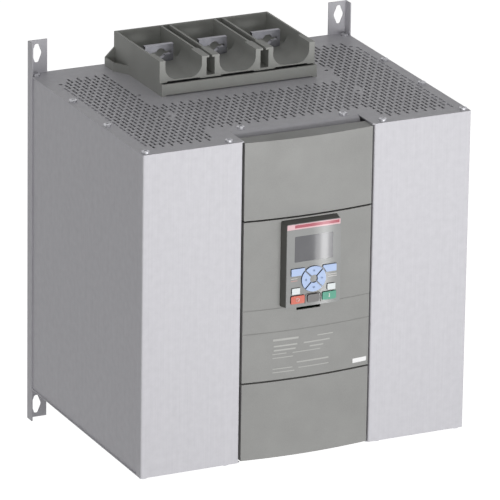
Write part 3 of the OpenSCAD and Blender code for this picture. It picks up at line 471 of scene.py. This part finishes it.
# Stop and start symbols: a ring on the red cap and a bar on the green one.
# Pale ink, pad-printed like the arrows; both keys stand in one row, left and right of the middle.
KEY_X, KEY_ROW_Z = 21, 2.5
STOP_R, STOP_LINE, START_WIDE, START_HIGH, START_CORNER = 2.4, 0.8, 1.1, 5, 0.2
pale_ink = moulded_plastic("pale_key_ink", "EDE6E2", "F4EEEA", grain_mm=0.4, roughness=0.45)
bpy.ops.object.select_all(action="DESELECT")
bpy.ops.mesh.primitive_circle_add(vertices=32, radius=STOP_R * MM, fill_type="NGON",
                                  location=(-KEY_X * MM, KEY_Y * MM, KEY_ROW_Z * MM),
                                  rotation=(math.pi / 2, 0, 0))
stop_mark = bpy.context.object
bpy.ops.object.transform_apply(location=True, rotation=True, scale=True)
bpy.ops.object.mode_set(mode="EDIT")
bpy.ops.mesh.select_all(action="SELECT")
bpy.ops.mesh.inset(thickness=STOP_LINE * MM)
bpy.ops.mesh.delete(type="ONLY_FACE")
bpy.ops.object.mode_set(mode="OBJECT")
pad_print(stop_mark, "stop_mark", pale_ink, "stop_key_cap")
pad_print(rounded_plane(KEY_X, KEY_Y, KEY_ROW_Z, START_WIDE, START_HIGH, START_CORNER),
          "start_mark", pale_ink, "start_key_cap")


# Marks on the face: an arch round the menu key, and short plain bars on both sides of the arrow ring.
# Screen-printed in thin ink, so they lie flat on the film of the face.
MARK_GAP = 0.02
MARK_Y = FACE_Y - MARK_GAP
ARCH_X, ARCH_Z, ARCH_WIDE, ARCH_HIGH = -0.3, -1.0, 22, 19.4
ARCH_CORNER, ARCH_LINE, ARCH_FOOT_Z = 4, 1.2, -4.2
LEFT_BAR_X, LEFT_BAR_WIDE, RIGHT_BAR_X, RIGHT_BAR_WIDE = -25.6, 8.6, 25.4, 11.6
BAR_HIGH, BAR_CORNER, FAULT_BAR_Z = 0.8, 0.3, 26.4
STATUS_BARS = [(LEFT_BAR_X, 29.2, LEFT_BAR_WIDE), (RIGHT_BAR_X, 28.8, RIGHT_BAR_WIDE),
               (RIGHT_BAR_X, 26.2, RIGHT_BAR_WIDE)]
arch = rounded_plane(ARCH_X, MARK_Y, ARCH_Z, ARCH_WIDE, ARCH_HIGH, ARCH_CORNER)
bpy.ops.object.mode_set(mode="EDIT")
bpy.ops.mesh.select_all(action="SELECT")
bpy.ops.mesh.inset(thickness=ARCH_LINE * MM)
bpy.ops.mesh.delete(type="ONLY_FACE")
bpy.ops.mesh.select_all(action="SELECT")
bpy.ops.mesh.bisect(plane_co=(0, 0, ARCH_FOOT_Z * MM), plane_no=(0, 0, 1), clear_inner=True)
bpy.ops.object.mode_set(mode="OBJECT")
arch_print = moulded_plastic("brown_grey_print", "55504D", "5E5956", grain_mm=0.4, roughness=0.45)
pad_print(arch, "menu_arch", arch_print, "keypad")
bars = [rounded_plane(x, MARK_Y, z, wide, BAR_HIGH, BAR_CORNER) for x, z, wide in STATUS_BARS]
status_print = moulded_plastic("pale_status_print", "CFCDCB", "D8D6D4", grain_mm=0.4, roughness=0.45)
pad_print(join_pieces(bars), "status_bars", status_print, "keypad")
fault_print = moulded_plastic("red_grey_print", "C79A94", "D0A49E", grain_mm=0.4, roughness=0.45)
pad_print(rounded_plane(LEFT_BAR_X, MARK_Y, FAULT_BAR_Z, LEFT_BAR_WIDE, BAR_HIGH, BAR_CORNER),
          "fault_bar", fault_print, "keypad")


# Studio: a plain white sweep below the hung unit, an even fill all round, a broad lamp in front, so
# low that the case keeps most of it off the shroud, and two narrow strips that mirror in the window.
# The camera stands where the photo was taken, left of the front and above, fitted to nine edges.
def plainly_seen(tree):
    """1 for what the camera sees, also by way of metal or glass; 0 for the light on the part."""
    ray = wire(tree, "LightPath")
    direct = wire(tree, "Math", (), {0: ray.outputs["Is Camera Ray"], 1: ray.outputs["Is Glossy Ray"]},
                  operation="MAXIMUM")
    any_way = wire(tree, "Math", (), {0: direct.outputs[0], 1: ray.outputs["Is Transmission Ray"]},
                   operation="MAXIMUM")
    return any_way.outputs[0]


FLOOR_SIZE, FLOOR_Z, FLOOR_GLOW = 30, -0.75, 0.8
FILL_LEVEL, FILL_OVERHEAD = 0.54, 0.18
bpy.ops.object.select_all(action="DESELECT")
bpy.ops.mesh.primitive_plane_add(size=FLOOR_SIZE, location=(0, 0, FLOOR_Z))
floor = bpy.context.object
floor.name = "studio_floor"
white_sweep, tree, out = blank_material("white_sweep")
lift = wire(tree, "Math", {1: FLOOR_GLOW}, {0: plainly_seen(tree)}, operation="MULTIPLY")
matt = wire(tree, "BsdfDiffuse", {"Color": linear("F2F2F2")})
glow = wire(tree, "Emission", {"Color": (1, 1, 1, 1)}, {"Strength": lift.outputs[0]})
both = wire(tree, "AddShader", (), {0: matt.outputs[0], 1: glow.outputs[0]})
tree.links.new(both.outputs[0], out.inputs["Surface"])
floor.data.materials.append(white_sweep)

world = bpy.data.worlds.new("studio")
bpy.context.scene.world = world
world.use_nodes = True
tree = world.node_tree
tree.nodes.clear()
out = wire(tree, "OutputWorld")
way = wire(tree, "SeparateXYZ", (), {0: wire(tree, "TexCoord").outputs["Generated"]})
fill = wire(tree, "MapRange", {"To Min": FILL_LEVEL, "To Max": FILL_OVERHEAD}, {"Value": way.outputs["Z"]})
level = wire(tree, "MapRange", {"To Max": 1.0}, {"Value": plainly_seen(tree), "To Min": fill.outputs[0]})
sky = wire(tree, "Background", {"Color": (1, 1, 1, 1)}, {"Strength": level.outputs[0]})
tree.links.new(sky.outputs[0], out.inputs["Surface"])


def soft_lamp(name, spot, aim, wide, high, watts):
    """A rectangular lamp at a spot, turned to a point."""
    lamp = bpy.data.lights.new(name, "AREA")
    lamp.shape = "RECTANGLE"
    lamp.size, lamp.size_y, lamp.energy = wide, high, watts
    holder = bpy.data.objects.new(name, lamp)
    bpy.context.scene.collection.objects.link(holder)
    holder.location = spot
    holder.rotation_euler = (Vector(aim) - Vector(spot)).to_track_quat("-Z", "Y").to_euler()


soft_lamp("front_lamp", spot=(0.15, -1.75, 0.1), aim=(0, -0.34, 0.7),
          wide=0.9, high=0.36, watts=15.0)
soft_lamp("strip_lamp_broad", spot=(0.395, -1.123, -0.256), aim=(0.0125, -0.3595, 0.045),
          wide=0.0245, high=0.13, watts=0.024)
soft_lamp("strip_lamp_core", spot=(0.394, -1.12, -0.256), aim=(0.0132, -0.3595, 0.045),
          wide=0.01, high=0.13, watts=0.016)

TURN, TILT, ROLL = math.radians(-25.7553), math.radians(19.5596), math.radians(0.85697)
RIGHTWARDS, UPWARDS, BACKWARDS, BASE_Z = 81.8588, 140.7947, 7382.8845, -0.2045
back = Vector((math.sin(TURN) * math.cos(TILT), -math.cos(TURN) * math.cos(TILT), math.sin(TILT)))
level_right = Vector((0, 0, 1)).cross(back).normalized()
level_up = back.cross(level_right)
right = math.cos(ROLL) * level_right + math.sin(ROLL) * level_up
up = -math.sin(ROLL) * level_right + math.cos(ROLL) * level_up
spot = (right * RIGHTWARDS + up * UPWARDS + back * BACKWARDS) * MM + Vector((0, 0, BASE_Z))
lens = bpy.data.cameras.new("photo_camera")
lens.sensor_width = 36
lens.lens = 420.59
lens.clip_end = 100
camera = bpy.data.objects.new("photo_camera", lens)
bpy.context.scene.collection.objects.link(camera)
camera.matrix_world = Matrix((right, up, back)).transposed().to_4x4()
camera.location = spot
bpy.context.scene.camera = camera
bpy.context.scene.view_settings.view_transform = "Standard"
